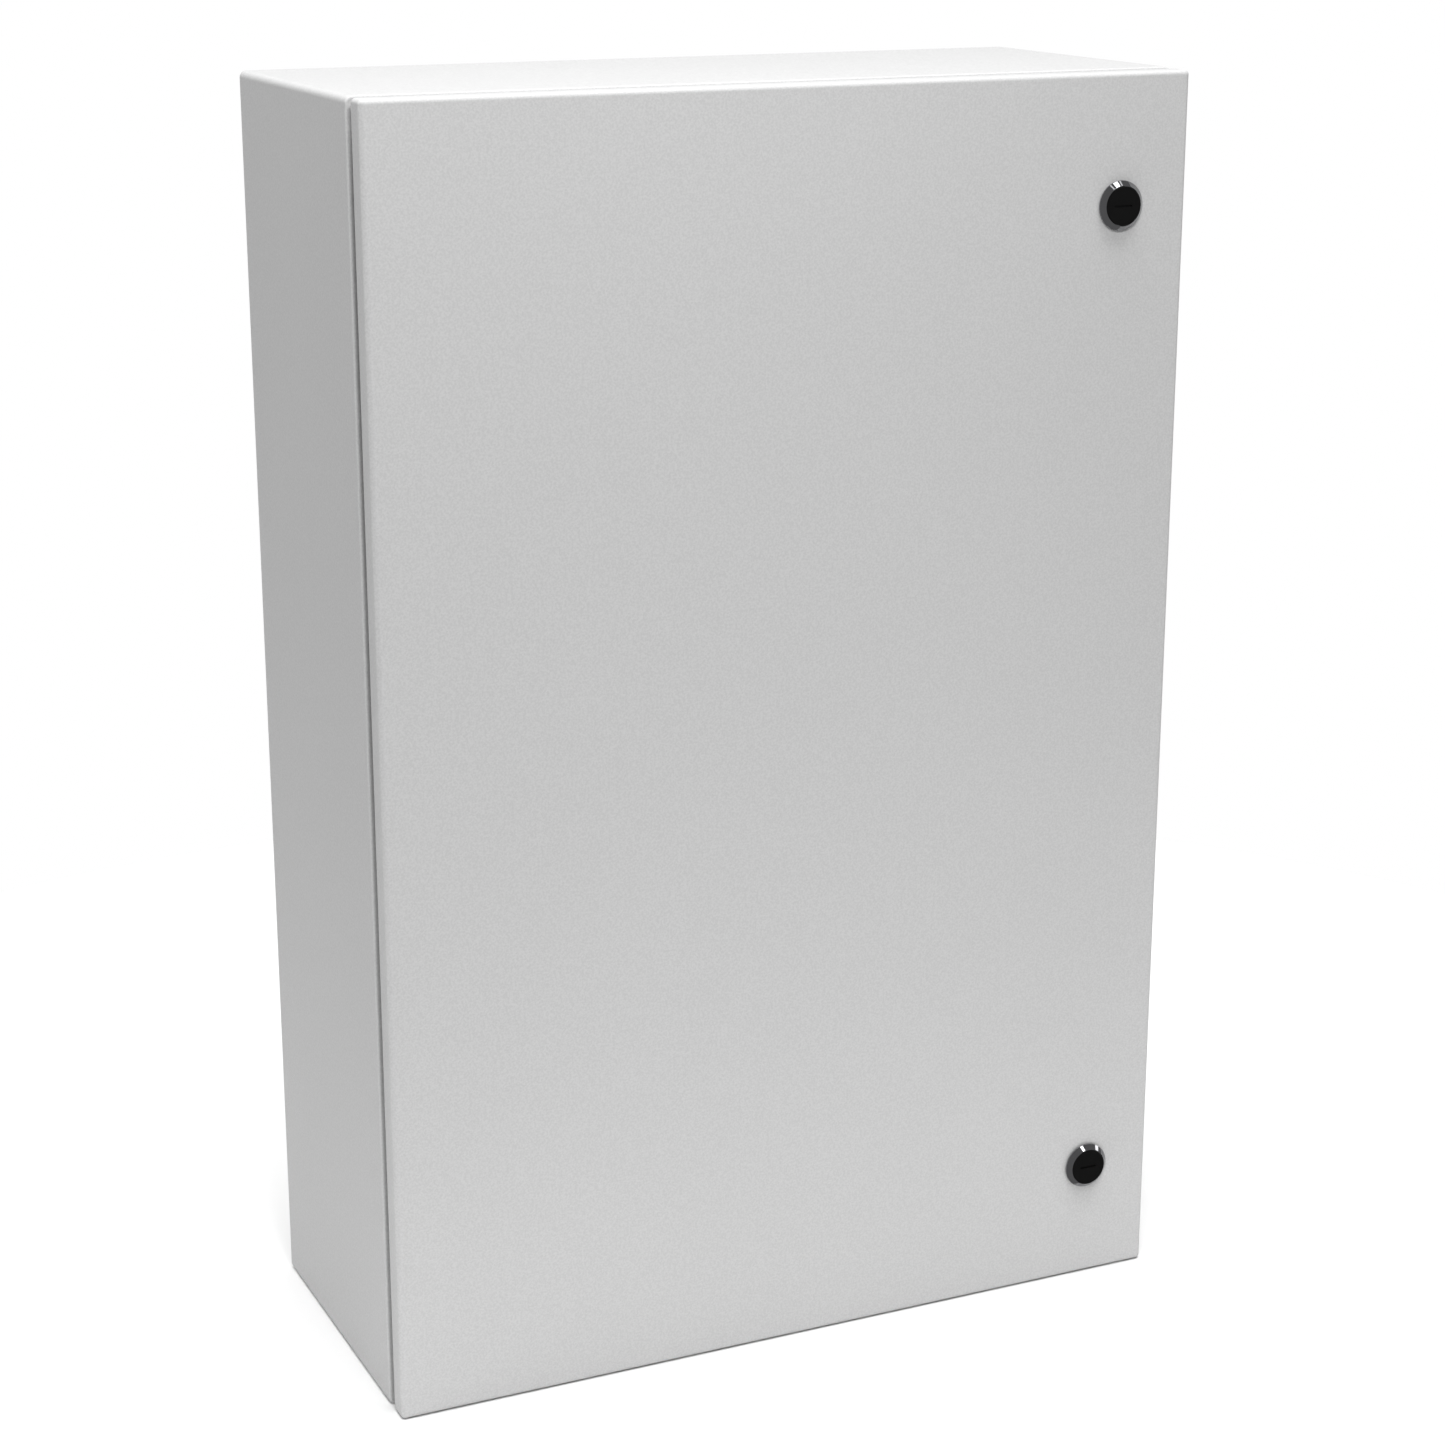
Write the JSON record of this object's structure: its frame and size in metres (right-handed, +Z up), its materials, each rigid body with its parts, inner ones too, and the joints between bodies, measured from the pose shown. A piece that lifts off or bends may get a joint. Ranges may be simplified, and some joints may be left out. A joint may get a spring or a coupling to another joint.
{
  "type": "wall-mounted switchboard cabinet",
  "caption": "Rectangular sheet-steel switchboard cabinet with a hinged overlapping door, quarter-turn latches on the right and a mounting panel inside.",
  "frame": {"origin": "under the middle of the bounding box, on the plane the cabinet stands on", "axes": "+Z up, +Y into the cabinet towards its wall face, +X to the right as seen from the front; the door faces -Y and hangs on the -X side"},
  "size_m": [0.6096, 0.2716, 0.9144],
  "materials": {
    "powder_coated_steel": "light grey fine-texture powder coat",
    "galvanised_steel": "galvanised sheet",
    "zinc_plated_steel": "bright zinc plating",
    "steel_screws": "zinc-plated screws",
    "bright_steel": "bright drawn steel",
    "sealing_foam": "closed-cell foam, matt",
    "sealing_rubber": "matt",
    "chromed_zinc": "polished chrome plating",
    "black_plastic": "moulded, fine satin"
  },
  "bodies": {
    "cabinet": {"body_wrapper": "powder_coated_steel", "back_panel": "powder_coated_steel", "mounting_panel": "galvanised_steel", "gland_plate": "galvanised_steel", "panel_studs": "zinc_plated_steel", "panel_spacers": "zinc_plated_steel", "panel_nuts": "zinc_plated_steel", "gland_studs": "zinc_plated_steel", "gland_nuts": "zinc_plated_steel", "body_earth_stud": "zinc_plated_steel", "body_earth_nut": "zinc_plated_steel", "body_hinge_nuts": "zinc_plated_steel", "upper_body_hinge": "zinc_plated_steel", "lower_body_hinge": "zinc_plated_steel", "body_hinge_screws": "steel_screws", "gland_gasket": "sealing_rubber"},
    "door": {"door_panel": "powder_coated_steel", "door_gasket": "sealing_foam", "hinge_side_rail": "galvanised_steel", "latch_side_rail": "galvanised_steel", "door_earth_stud": "zinc_plated_steel", "door_earth_nut": "zinc_plated_steel", "upper_door_hinge": "zinc_plated_steel", "upper_hinge_pin": "bright_steel", "upper_pin_clip": "bright_steel", "upper_latch_seal": "sealing_rubber", "upper_latch_housing": "chromed_zinc", "upper_latch_nut": "chromed_zinc", "lower_door_hinge": "zinc_plated_steel", "lower_hinge_pin": "bright_steel", "lower_pin_clip": "bright_steel", "lower_latch_seal": "sealing_rubber", "lower_latch_housing": "chromed_zinc", "lower_latch_nut": "chromed_zinc"},
    "upper_latch": {"upper_latch_insert": "black_plastic", "upper_latch_cam": "zinc_plated_steel", "upper_cam_washer": "zinc_plated_steel", "upper_cam_screw": "zinc_plated_steel"},
    "lower_latch": {"lower_latch_insert": "black_plastic", "lower_latch_cam": "zinc_plated_steel", "lower_cam_washer": "zinc_plated_steel", "lower_cam_screw": "zinc_plated_steel"}
  },
  "joints": [
    {"name": "door_hinge", "type": "hinge", "parent": "cabinet", "child": "door", "pos_m": [-0.2948, -0.12235, 0.4572], "axis": [0, 0, -1], "range_deg": [0, 120]},
    {"name": "upper_latch_turn", "type": "hinge", "parent": "door", "child": "upper_latch", "pos_m": [0.2503, -0.13085, 0.8222], "axis": [0, -1, 0], "range_deg": [0, 90]},
    {"name": "lower_latch_turn", "type": "hinge", "parent": "door", "child": "lower_latch", "pos_m": [0.2503, -0.13085, 0.0906], "axis": [0, -1, 0], "range_deg": [0, 90]}
  ]
}
